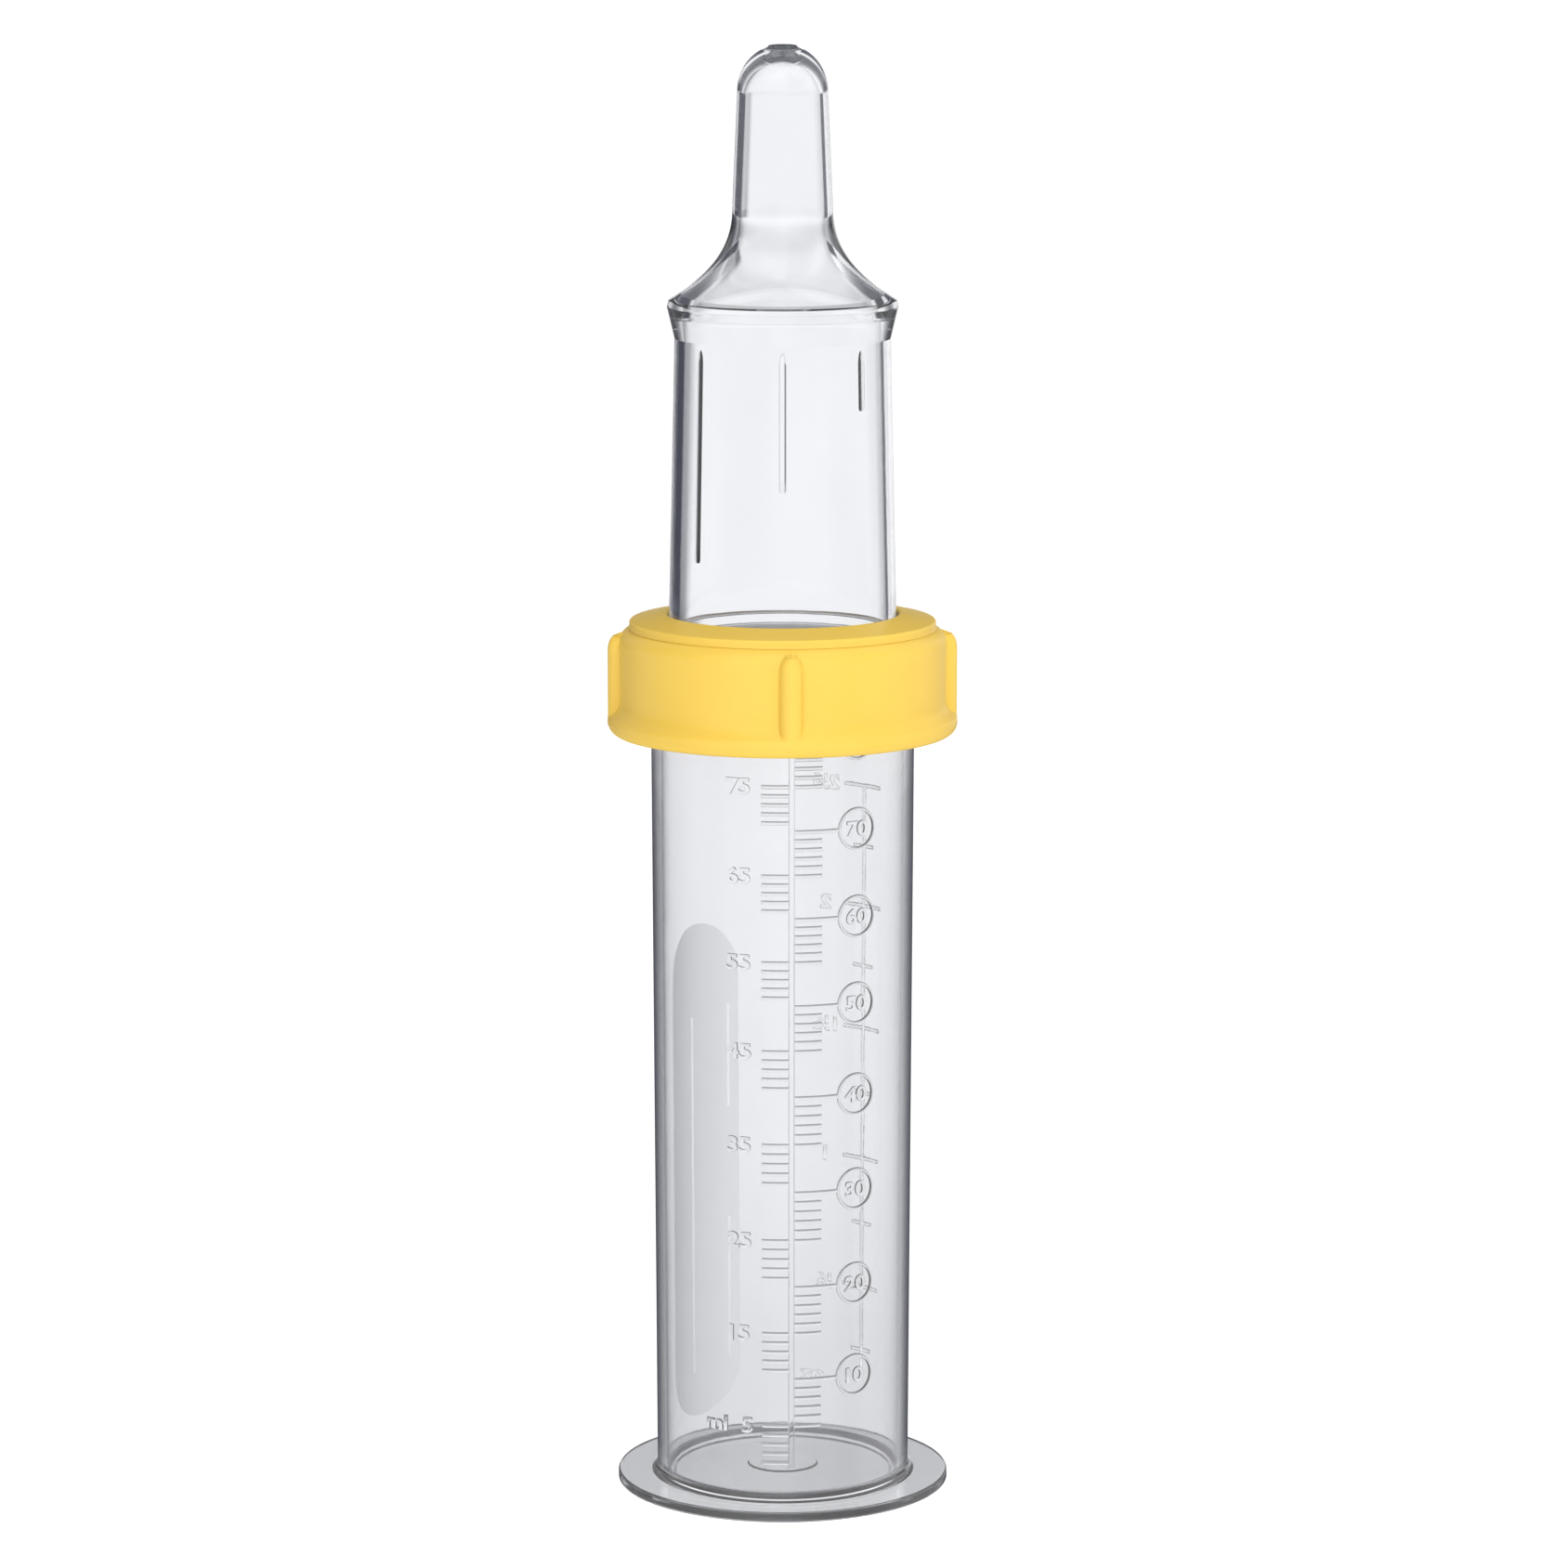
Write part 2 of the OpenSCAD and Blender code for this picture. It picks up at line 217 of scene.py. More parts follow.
def rounded(corners, hold=0.06, longest=3.0):
    """A closed outline through corners (r, z, fillet radius). Straight stretches get a point close to each end,
    so that a fillet's shading stays off them, and one every few millimetres."""
    count = len(corners)
    runs = []
    for i, (r, z, fillet) in enumerate(corners):
        here = np.array((r, z), float)
        back = np.array(corners[i - 1][:2], float) - here
        ahead = np.array(corners[(i + 1) % count][:2], float) - here
        if fillet <= 0:
            runs.append([here])
            continue
        back /= np.linalg.norm(back)
        ahead /= np.linalg.norm(ahead)
        half = math.acos(max(-1.0, min(1.0, float(back @ ahead)))) / 2
        reach = fillet / math.tan(half)
        centre = here + (back + ahead) / np.linalg.norm(back + ahead) * fillet / math.sin(half)
        start, end = here + back * reach - centre, here + ahead * reach - centre
        turn = math.atan2(start[0] * end[1] - start[1] * end[0], float(start @ end))
        steps = max(3, round(abs(turn) / math.radians(11)))
        runs.append([
            centre + rotate2(start, turn * k / steps) for k in range(steps + 1)
        ])
    points = []
    for i, run in enumerate(runs):
        points += run
        a, b = run[-1], runs[(i + 1) % count][0]
        length = float(np.linalg.norm(b - a))
        if max(a[0], b[0]) < 1e-6 or length < 4 * hold:
            continue
        stops = np.linspace(hold / length, 1 - hold / length, max(2, math.ceil(length / longest) + 1))
        points += [a + (b - a) * t for t in stops]
    return [(float(p[0]), float(p[1])) for p in points]


def rotate2(v, angle):
    c, s = math.cos(angle), math.sin(angle)
    return np.array((v[0] * c - v[1] * s, v[0] * s + v[1] * c))


def lathe(name, outline, columns=None, push=None, smooth_angle=35):
    """A closed solid of revolution. columns are azimuths in degrees, and push(r, z, azimuth) moves a point's radius."""
    columns = np.arange(256) * 360 / 256 if columns is None else columns
    count = len(columns)
    verts, rings = [], []
    for r, z in outline:
        if r < 1e-6:
            rings.append([len(verts)])
            verts.append((0, 0, z))
            continue
        rings.append(list(range(len(verts), len(verts) + count)))
        for a in columns:
            radius = push(r, z, a) if push else r
            verts.append((radius * math.cos(math.radians(a)), radius * math.sin(math.radians(a)), z))
    faces = []
    for i, low in enumerate(rings):
        high = rings[(i + 1) % len(rings)]
        if len(low) == 1 and len(high) == 1:
            continue
        for k in range(count):
            n = (k + 1) % count
            if len(low) == 1:
                faces.append((low[0], high[n], high[k]))
            elif len(high) == 1:
                faces.append((low[k], low[n], high[0]))
            else:
                faces.append((low[k], low[n], high[n], high[k]))
    return mesh_object(name, verts, faces, smooth_angle)


def thread_height(z, azimuth, first_z):
    """How far the ridge stands out at a place, from 0 to 1."""
    best = 0.0
    turn = (azimuth - THREAD_START) % 360
    while turn <= 360 * THREAD_TURNS:
        off = abs(z - first_z - PITCH * turn / 360)
        flank = (THREAD_FOOT_HALF - off) / (THREAD_FOOT_HALF - THREAD_CREST_HALF)
        lead = min(turn, 360 * THREAD_TURNS - turn) / THREAD_LEAD
        best = max(best, min(1.0, max(0.0, flank)) * min(1.0, lead))
        turn += 360
    return best


def on_wall(x, z, out, at, surface=wall_r):
    """A point out of a round wall, at a distance x along it from the direction at, in degrees from the front."""
    angle = math.radians(at) + x / surface(z)
    radius = surface(z) + out
    return (radius * math.sin(angle), -radius * math.cos(angle), z)


def loft(layers, close_first=True, close_last=True):
    """Faces of a closed solid through equal loops of points, from the lowest layer to the highest."""
    size = len(layers[0])
    verts = [p for layer in layers for p in layer]
    faces = []
    for i in range(len(layers) - 1):
        for k in range(size):
            n = (k + 1) % size
            faces.append((i * size + k, i * size + n, (i + 1) * size + n, (i + 1) * size + k))
    if close_first:
        faces.append(tuple(range(size - 1, -1, -1)))
    if close_last:
        faces.append(tuple(range((len(layers) - 1) * size, len(layers) * size)))
    return verts, faces


# A moulded line's section: how far out of the wall, and how far in from its edge
LINE_SECTION = ((-SUNK_T, 0.0), (0.02, 0.0), (0.1, 0.035), (0.17, 0.085), (0.22, 0.15), (RELIEF_T, 0.22))


def bar(x0, x1, z0, z1, at):
    """A raised bar on the wall with rounded edges, as verts and faces."""
    steps = max(2, math.ceil((x1 - x0) / 0.6))
    layers = []
    for out, inset in LINE_SECTION:
        xs = [x0 + inset + (x1 - x0 - 2 * inset) * k / steps for k in range(steps + 1)]
        low, high = z0 + inset, z1 - inset
        zs = max(1, math.ceil((z1 - z0) / 4))
        side = [low + (high - low) * k / zs for k in range(1, zs)]
        loop = [(x, low) for x in xs] + [(xs[-1], z) for z in side]
        loop += [(x, high) for x in reversed(xs)] + [(xs[0], z) for z in reversed(side)]
        layers.append([on_wall(x, z, out, at) for x, z in loop])
    verts, faces = loft(layers, close_first=False, close_last=False)
    # a grid closes the top and the bottom, so that long bars follow the wall
    size = len(layers[0])
    for base, up in (((len(layers) - 1) * size, True), (0, False)):
        faces += bar_cap(base, steps, zs, verts, up)
    return verts, faces


def bar_cap(base, steps, rows, verts, up):
    """Faces across a bar's loop, as strips between its low and its high edge."""
    size = 2 * (steps + 1) + 2 * (rows - 1)
    grid = {}
    for k in range(steps + 1):
        grid[k, 0] = base + k
        grid[steps - k, rows] = base + steps + rows + k
    for j in range(1, rows):
        grid[steps, j] = base + steps + j
        grid[0, rows - j] = base + size - rows + j
    for j in range(1, rows):
        for k in range(1, steps):
            a, b = np.array(verts[grid[k, 0]]), np.array(verts[grid[k, rows]])
            grid[k, j] = len(verts)
            verts.append(tuple(a + (b - a) * j / rows))
    faces = []
    for j in range(rows):
        for k in range(steps):
            quad = (grid[k, j], grid[k + 1, j], grid[k + 1, j + 1], grid[k, j + 1])
            faces.append(quad if up else quad[::-1])
    return faces


def wall_ring(at, z, radius, line):
    """A raised ring on the wall, around a number."""
    steps = 64
    outer, inner = radius, radius - line
    section = [(outer - inset, out) for out, inset in LINE_SECTION]
    section += [(inner + inset, out) for out, inset in reversed(LINE_SECTION)]
    verts, faces = [], []
    for k in range(steps):
        a = 2 * math.pi * k / steps
        verts += [on_wall(r * math.cos(a), z + r * math.sin(a), out, at) for r, out in section]
    size = len(section)
    for k in range(steps):
        n = (k + 1) % steps
        for j in range(size):
            m = (j + 1) % size
            faces.append((k * size + j, n * size + j, n * size + m, k * size + m))
    return verts, faces


FIGURE_SHARE = 0.73    # a figure's height as a share of the font's size
FIGURE_WIDE = 1.2      # how much wider than the font's the figures are
FIGURE_EDGE = 0.11     # the bevel, which also widens the strokes


def lettering(text, height, at, z, wide=FIGURE_WIDE):
    """Raised figures on the wall, centred on a height and a direction, as verts and faces."""
    curve = bpy.data.curves.new("figures", "FONT")
    curve.body = text
    curve.align_x, curve.align_y = "CENTER", "CENTER"
    curve.size = height / FIGURE_SHARE
    curve.resolution_u = 5
    curve.bevel_depth = FIGURE_EDGE
    curve.bevel_resolution = 1
    curve.extrude = (RELIEF_T + SUNK_T) / 2 - FIGURE_EDGE
    holder = bpy.data.objects.new("figures", curve)
    bpy.context.scene.collection.objects.link(holder)
    bpy.context.view_layer.update()
    mesh = bpy.data.meshes.new_from_object(holder.evaluated_get(bpy.context.evaluated_depsgraph_get()))
    bpy.data.objects.remove(holder)
    bm = bmesh.new()
    bm.from_mesh(mesh)
    bmesh.ops.remove_doubles(bm, verts=bm.verts, dist=1e-4)
    lift = (RELIEF_T - SUNK_T) / 2
    middle_x, middle_y = ((min(v.co[i] for v in bm.verts) + max(v.co[i] for v in bm.verts)) / 2 for i in (0, 1))
    verts = [on_wall((v.co.x - middle_x) * wide, z + v.co.y - middle_y, v.co.z + lift, at) for v in bm.verts]
    bm.verts.index_update()
    faces = [tuple(v.index for v in f.verts) for f in bm.faces]
    bm.free()
    bpy.data.meshes.remove(mesh)
    return verts, faces


def gather(name, parts):
    """One object from several (verts, faces) that don't meet each other."""
    verts, faces = [], []
    for v, f in parts:
        base = len(verts)
        verts += v
        faces += [tuple(i + base for i in face) for face in f]
    return mesh_object(name, verts, faces)


def combine(base, tool, operation="UNION"):
    """Joins tool to base, or cuts it away, and removes tool."""
    modifier = base.modifiers.new("combine", "BOOLEAN")
    modifier.solver = "MANIFOLD"
    modifier.operation = operation
    modifier.object = tool
    bpy.context.view_layer.update()
    mesh = bpy.data.meshes.new_from_object(base.evaluated_get(bpy.context.evaluated_depsgraph_get()))
    if len(mesh.polygons) in (0, len(base.data.polygons)):
        raise RuntimeError(f"{base.name} could not be combined with {tool.name}")
    base.modifiers.clear()
    old = base.data
    base.data = mesh
    bpy.data.meshes.remove(old)
    bpy.data.objects.remove(tool)
    mesh.materials.clear()
    finish_shading(base, 35)


# ---------------------------------------------------------------- container
def container_outline():
    top = wall_r(RIM_Z)
    foot = wall_r(FLANGE_T)
    inner = wall_r(FLOOR_Z) - WALL_T
    return rounded([
        (0, 0.4, 0), (BASE_RING_R - 0.4, 0.4, 0.2), (BASE_RING_R, 0, 0.15),
        (FLANGE_R, 0, 0.3), (FLANGE_R, FLANGE_T, 0.3), (foot, FLANGE_T, FOOT_FILLET),
        (top, RIM_Z, 0.35), (top - WALL_T, RIM_Z, 0.25), (inner, FLOOR_Z, 0.8),
        (GATE_R, FLOOR_Z, 0.1), (GATE_R - 0.2, FLOOR_Z + 0.2, 0.1), (0, FLOOR_Z + 0.25, 0),
    ])


def neck_rows(outline):
    """The outline with close rows where the neck's thread is."""
    low, high = NECK_THREAD_Z - 1.2, NECK_THREAD_Z + PITCH * THREAD_TURNS + 1.2
    kept = [p for p in outline if not (p[0] > wall_r(p[1]) - 0.1 and low < p[1] < high)]
    at = next(i for i, p in enumerate(kept) if p[0] > wall_r(p[1]) - 0.1 and p[1] >= high)
    rows = [(wall_r(z), float(z)) for z in np.arange(low, high, 0.15)]
    return kept[:at] + rows + kept[at:]


def neck_push(r, z, azimuth):
    if z < NECK_THREAD_Z - 1.3 or r < wall_r(z) - 0.1 or z > RIM_Z - 0.5:
        return r
    return r + (NECK_CREST_R - r) * thread_height(z, azimuth, NECK_THREAD_Z)


def arc_bar(arc, z, height, at_ref=0.0):
    """A bar along an arc given in degrees from the front."""
    middle = (arc[0] + arc[1]) / 2
    half = math.radians(arc[1] - arc[0]) / 2 * wall_r(z)
    return bar(-half, half, z - height / 2, z + height / 2, middle + at_ref)


def front_scale():
    """The millilitre scale in two groups whose members don't meet each other."""
    lines = [bar(-LINE_W / 2, LINE_W / 2, LINE_FOOT_Z, ml_z(SCALE_TOP), LINE_AT)]
    ticks = []
    for ten in range(0, SCALE_TOP, 10):
        ticks += [arc_bar(LEFT_ARC, ml_z(ten + one), TICK_H) for one in range(1, 6)]
        ticks += [arc_bar(RIGHT_ARC, ml_z(ten + one), TICK_H) for one in range(5, 10)]
        ticks.append(arc_bar(LONG_ARC, ml_z(ten + 10), TICK_H))
        lines.append(wall_ring(RING_AT, ml_z(ten + 10), RING_R, RING_LINE))
        lines.append(lettering(str(ten + 10), RING_DIGIT_H, RING_AT, ml_z(ten + 10)))
        digits_at = LEFT_DIGITS_AT if ten else FIRST_DIGIT_AT
        lines.append(lettering(str(ten + 5), DIGIT_H, digits_at, ml_z(ten + 5)))
    lines.append(lettering("ml", DIGIT_H, -30.7, ml_z(5)))
    return lines, ticks


def rear_scale():
    """The ounce scale on the back, in two groups whose members don't meet each other."""
    foot, top = quarter_z(1) - REAR_LINE_PAST[0], quarter_z(REAR_QUARTERS) + REAR_LINE_PAST[1]
    lines = [bar(-REAR_LINE_HALF, REAR_LINE_HALF, foot, top, REAR_LINE_AT)]
    ticks = []
    for quarter in range(1, REAR_QUARTERS + 1):
        reach = REAR_LONG if quarter % 2 == 0 else REAR_SHORT
        ticks.append(arc_bar((-reach, reach), quarter_z(quarter), TICK_H, REAR_LINE_AT))
    for half, text in enumerate(("½", "1", "1½", "2", "2½"), 1):
        lines.append(lettering(text, REAR_DIGIT_H, REAR_DIGITS_AT, quarter_z(2 * half)))
    lines.append(lettering("oz", OZ_H, OZ_AT, OZ_Z))
    return lines, ticks


def patch_half_width(z):
    """Half the writing patch's width at a height: straight sides and round ends."""
    low, high = PATCH_Z[0] + PATCH_HALF_W, PATCH_Z[1] - PATCH_HALF_W
    past = max(low - z, z - high, 0)
    return math.sqrt(max(PATCH_HALF_W**2 - past**2, 0))


def writing_patch():
    """The slightly raised patch to write on, as a closed solid that follows the wall."""
    ends = np.sin(np.linspace(0, math.pi / 2, 20)) * PATCH_HALF_W
    zs = list(PATCH_Z[0] + PATCH_HALF_W - ends[::-1][:-1])
    zs += list(np.linspace(PATCH_Z[0] + PATCH_HALF_W, PATCH_Z[1] - PATCH_HALF_W, 50))
    zs += list(PATCH_Z[1] - PATCH_HALF_W + ends[1:])
    zs[0] += 0.01
    zs[-1] -= 0.01
    across = PATCH_COLUMNS
    verts, faces = [], []
    for out in (PATCH_T, -SUNK_T):
        for z in zs:
            half = patch_half_width(z)
            verts += [on_wall(half * (2 * k / across - 1), z, out, PATCH_AT) for k in range(across + 1)]
    row, layer = across + 1, (across + 1) * len(zs)
    for j in range(len(zs) - 1):
        for k in range(across):
            quad = (j * row + k, j * row + k + 1, (j + 1) * row + k + 1, (j + 1) * row + k)
            faces.append(quad)
            faces.append(tuple(i + layer for i in reversed(quad)))
    rim = list(range(across)) + [j * row + across for j in range(len(zs) - 1)]
    rim += [(len(zs) - 1) * row + k for k in range(across, 0, -1)] + [j * row for j in range(len(zs) - 1, 0, -1)]
    for a, b in zip(rim, rim[1:] + rim[:1]):
        faces.append((b, a, a + layer, b + layer))
    return verts, faces


def make_container():
    body = lathe("container_moulding", neck_rows(container_outline()), push=neck_push)
    combine(body, gather("patch", [writing_patch()]))
    for group in (*front_scale(), *rear_scale()):
        combine(body, gather("relief", group))
    return body


def patch_column(turn):
    """Which of the patch's columns of faces a direction, in radians from its middle, is in."""
    return int((turn * WALL_FOOT_R / PATCH_HALF_W + 1) / 2 * PATCH_COLUMNS)


def patch_faces(mesh):
    """The faces of the writing patch's matt surface, by index. Lines to write on are left clear."""
    lines = [(patch_column(math.radians(at - PATCH_AT)), low, high) for at, low, high in WRITE_LINES]
    found = []
    for face in mesh.polygons:
        x, y, z = (c / MM for c in face.center)
        if not PATCH_Z[0] < z < PATCH_Z[1] or y < 0 or x > 0:
            continue
        out = math.hypot(x, y) - wall_r(z)
        turn = math.atan2(x, -y) - math.radians(PATCH_AT)
        turn = (turn + math.pi) % (2 * math.pi) - math.pi
        if not 0.6 * PATCH_T < out < 1.6 * PATCH_T or abs(turn) * wall_r(z) > patch_half_width(z):
            continue
        if not any(patch_column(turn) == column and low < z < high for column, low, high in lines):
            found.append(face.index)
    return found


# ---------------------------------------------------------------- collar
def collar_outline():
    outline = rounded([
        (COLLAR_BORE_R + 0.4, COLLAR_FOOT_Z, 0.1), (COLLAR_BAND_R, COLLAR_FOOT_Z, 1.5),
        (COLLAR_BAND_R, COLLAR_FOOT_Z + 2.2, 0.6), (COLLAR_BODY_R, COLLAR_FOOT_Z + 3.6, 1.8),
        (COLLAR_BODY_R, PLATE_Z, 2.0), (LIP_R + 0.1, PLATE_Z + 0.15, 0.0),
        (LIP_R, PLATE_Z + 0.3, 0.1), (LIP_R, PLATE_Z + 1.2, 0.35),
        (COLLAR_HOLE_R, COLLAR_TOP_Z, 0.35), (COLLAR_HOLE_R, PLATE_Z, 0.15),
        (COLLAR_BORE_R - 0.8, PLATE_Z, 0.1), (COLLAR_BORE_R, PLATE_Z - 0.8, 0.1),
        (COLLAR_BORE_R, COLLAR_FOOT_Z + 0.4, 0.1),
    ], longest=0.7)
    low, high = COLLAR_THREAD_Z - 1.2, COLLAR_THREAD_Z + PITCH * THREAD_TURNS + 1.2
    kept = [p for p in outline if not (abs(p[0] - COLLAR_BORE_R) < 0.02 and low < p[1] < high)]
    at = next(i for i, p in enumerate(kept) if abs(p[0] - COLLAR_BORE_R) < 0.02 and p[1] <= low)
    rows = [(COLLAR_BORE_R, float(z)) for z in np.arange(high, low, -0.15)]
    return kept[:at] + rows + kept[at:]


def smooth_max(a, b, blend):
    """The larger of two, with a fillet where they cross."""
    h = max(blend - abs(a - b), 0) / blend
    return max(a, b) + h * h * blend / 4


def collar_push(r, z, azimuth):
    if abs(r - COLLAR_BORE_R) < 0.02:
        return r - (r - COLLAR_CREST_R) * thread_height(z, azimuth, COLLAR_THREAD_Z)
    if r < LIP_R - 0.6 or z > PLATE_Z or z < COLLAR_FOOT_Z + 1.0:
        return r
    step = 360 / RIBS
    off = (azimuth + 90 - RIB_TURN + step / 2) % step - step / 2
    across = math.radians(off) * r
    above = max(0.0, (z - RIB_TOP_Z) / 1.5)
    left = RIB_R**2 - across**2 - above**2
    if left <= 0:
        return r
    return smooth_max(r, COLLAR_BAND_R - RIB_R + math.sqrt(left), 0.25)


def collar_columns():
    """Azimuths that are close together at the ribs."""
    step = 360 / RIBS
    close = np.linspace(-6, 6, 41)
    wide = np.linspace(6, step - 6, 50)[1:-1]
    one = np.concatenate([close, wide])
    return np.concatenate([one + RIB_TURN - 90 + step * k for k in range(RIBS)])


def make_collar():
    return lathe("collar_moulding", collar_outline(), collar_columns(), collar_push, smooth_angle=50)


# ---------------------------------------------------------------- teat
def sweep_up(r0, z0, r1, z1, steps=40):
    """Points from a wide radius up to a narrow one, along the shoulder's curve."""
    shares = [k / steps for k in range(steps + 1)]
    return [(r1 + (r0 - r1) * (1 - t) ** BLEND_POWER, z0 + (z1 - z0) * t) for t in shares]


def arc_points(z, r, start, end, steps=18):
    angles = np.radians(np.linspace(start, end, steps + 1))
    return [(float(r * math.cos(a)), float(z + r * math.sin(a))) for a in angles]


def teat_outline():
    flange_top = PLATE_Z - 0.05
    groove = DISC_R + 0.1
    lip = DISC_R - 0.25
    in_low, in_top = BARREL_LOW_R - BARREL_T, BARREL_TOP_R - BARREL_T
    in_ring = in_top - 0.45
    end_z = TEAT_TOP_Z - NIPPLE_END_R
    lower = rounded([
        (lip, TEAT_FOOT_Z, 0.1), (TEAT_FLANGE_R, TEAT_FOOT_Z, 0.4), (TEAT_FLANGE_R, flange_top, 0.4),
        (BARREL_LOW_R, flange_top, 0.3), (BARREL_TOP_R, RING_FOOT_Z - 0.8, 1.2),
        (BARREL_TOP_R, RING_FOOT_Z, 0.25), (RING_OUT_R, RING_TOP_Z, 0.5),
        (RING_OUT_R - 0.2, SHOULDER_Z, 0), (in_ring, SHOULDER_Z - 0.6, 0), (in_top, SHOULDER_Z - 2.0, 1.0),
        (in_top, RING_FOOT_Z - 0.8, 2.0), (in_low, DISC_TOP_Z + 1.05, 0.5), (in_low, DISC_TOP_Z + 0.05, 0.1),
        (groove, DISC_TOP_Z + 0.05, 0.08), (groove, TEAT_FOOT_Z + 0.4, 0.08), (lip, TEAT_FOOT_Z + 0.4, 0.1),
    ])
    cut = lower.index((RING_OUT_R - 0.2, SHOULDER_Z))
    resume = lower.index((in_ring, SHOULDER_Z - 0.6))
    outer = sweep_up(RING_OUT_R - 0.2, SHOULDER_Z, NIPPLE_FOOT_R, NIPPLE_FOOT_Z)
    outer += arc_points(end_z, NIPPLE_END_R, 0, math.degrees(math.acos(2.95 / NIPPLE_END_R)))
    # a round pad around the slit, set off by a fine groove
    dish = [(r, TEAT_TOP_Z + z) for r, z in
            ((2.88, -0.76), (2.84, -0.85), (2.78, -0.86), (2.72, -0.78), (2.5, -0.62), (2.1, -0.44), (1.6, -0.28),
             (1.0, -0.17), (0.4, -0.13), (0, -0.12))]
    inner = arc_points(end_z - 0.9, NIPPLE_END_R - NIPPLE_T, 90, 0)
    inner[0] = (0.0, inner[0][1])
    inner += sweep_up(in_ring, SHOULDER_Z - 0.6, NIPPLE_FOOT_R - NIPPLE_T, NIPPLE_FOOT_Z - 2.5)[::-1]
    turned = outer + dish + inner[:-1] + lower[resume:] + lower[:cut]
    start = turned.index(dish[-1])
    return turned[start + 1:] + turned[:start + 1]


def flow_line(at, length):
    """A low ridge down the barrel with a pointed top, as a closed solid."""
    top = RING_FOOT_Z - 0.8
    stations = [(top - length, 0.7), (top - length + 0.3, 1.0)]
    stations += [(float(z), 1.0) for z in np.arange(top - length + 2, top - 2.5, 2)]
    stations += [(top - 1.6, 1.0), (top - 0.8, 0.8), (top - 0.3, 0.5), (top, 0.15)]
    half = FLOW_LINE_W / 2
    layers = []
    for z, share in stations:
        w, out = half * share, FLOW_LINE_OUT * share
        dome = [(w * math.sin(a), out * math.cos(a)) for a in np.radians(np.linspace(80, -80, 13))]
        loop = [(-w, -SUNK_T), (w, -SUNK_T)] + dome
        layers.append([on_wall(x, z, o, at, barrel_r) for x, o in reversed(loop)])
    return loft(layers)


def tip_lips():
    """The two swollen lips along the slit, as one low dome in the dish."""
    layers = []
    for share, up in ((1.0, -0.5), (1.0, -0.15), (0.9, -0.02), (0.7, 0.06), (0.4, 0.1), (0.1, 0.11)):
        loop = []
        for k in range(40):
            a = 2 * math.pi * k / 40
            x = (SLIT_LEN / 2 + 0.45) * share * math.cos(a)
            y = 0.62 * share * math.sin(a) * (1 + 0.12 * math.sin(5 * a))
            loop.append((x, y, TEAT_TOP_Z - 0.12 + up))
        layers.append(loop)
    return loft(layers)


def slit():
    """What is cut away for the slit: a thin blade with a slight wave."""
    loop = []
    for side in (-1, 1):
        for k in range(17):
            x = SLIT_LEN * (k / 16 - 0.5) * -side
            loop.append((x, side * -SLIT_W / 2 + 0.07 * math.sin(4.2 * x), 0))
    low, high = TEAT_TOP_Z - 4, TEAT_TOP_Z + 1
    return loft([[(x, y, z) for x, y, _ in loop] for z in (low, high)])


def make_teat():
    body = lathe("teat_moulding", teat_outline())
    combine(body, gather("flow_lines", [flow_line(at, length) for at, length in FLOW_LINES]))
    combine(body, gather("lips", [tip_lips()]))
    combine(body, gather("slit", [slit()]), "DIFFERENCE")
    return body


# ---------------------------------------------------------------- valve
def make_disc():
    top, foot = DISC_TOP_Z, DISC_FOOT_Z
    low_r = DISC_R - 0.35
    body = lathe("valve_disc_moulding", rounded([
        (STEM_R + 0.08, foot, 0.12), (3.2, foot, 0.12), (3.5, foot + 0.25, 0.1), (low_r - 1.2, foot + 0.25, 0.1),
        (low_r - 0.9, foot, 0.12), (low_r, foot, 0.12), (low_r, foot + 0.45, 0.05), (DISC_R, foot + 0.45, 0.12),
        (DISC_R, top, 0.2), (12.2, top, 0.12), (11.9, top - 0.2, 0.1), (10.9, top - 0.2, 0.1),
        (10.6, top, 0.12), (9.0, top, 0.12), (8.7, top - 0.15, 0.1), (3.6, top - 0.15, 0.1),
        (3.3, top, 0.1), (STEM_R + 0.08, top, 0.12),
    ]))
    holes = []
    for k in range(FLOW_HOLES):
        a = 2 * math.pi * k / FLOW_HOLES
        cx, cy = FLOW_CIRCLE_R * math.cos(a), FLOW_CIRCLE_R * math.sin(a)
        layers = []
        for r, z in ((FLOW_HOLE_R + 0.5, foot - 0.2), (FLOW_HOLE_R, foot + 0.4), (FLOW_HOLE_R, top - 0.3),
                     (FLOW_HOLE_R + 0.45, top + 0.2)):
            layers.append([(cx + r * math.cos(t), cy + r * math.sin(t), z)
                           for t in np.linspace(0, 2 * math.pi, 48, endpoint=False)])
        holes.append(loft(layers))
    combine(body, gather("flow_holes", holes), "DIFFERENCE")
    return body


def make_membrane():
    foot = DISC_TOP_Z + 0.05
    top = FLAP_TOP_Z
    bulb_z = BULB_TOP_Z - 1.5
    return lathe("valve_membrane_moulding", rounded([
        (0, TAIL_Z, 0), (0.9, TAIL_Z, 0.35), (0.9, bulb_z + 0.1, 0.3), (BULB_R, BULB_TOP_Z - 0.45, 0.25),
        (BULB_R, BULB_TOP_Z, 0.15), (STEM_R, BULB_TOP_Z, 0.15), (STEM_R, foot, 0.15), (8.9, foot, 0.2),
        (FLAP_R, foot + 0.05, 0.08), (FLAP_R, foot + 0.35, 0.12), (8.8, foot + 0.5, 0.6), (4.2, foot + 0.55, 0.4),
        (3.0, top, 0.4), (0, top - 0.05, 0),
    ], longest=0.8))


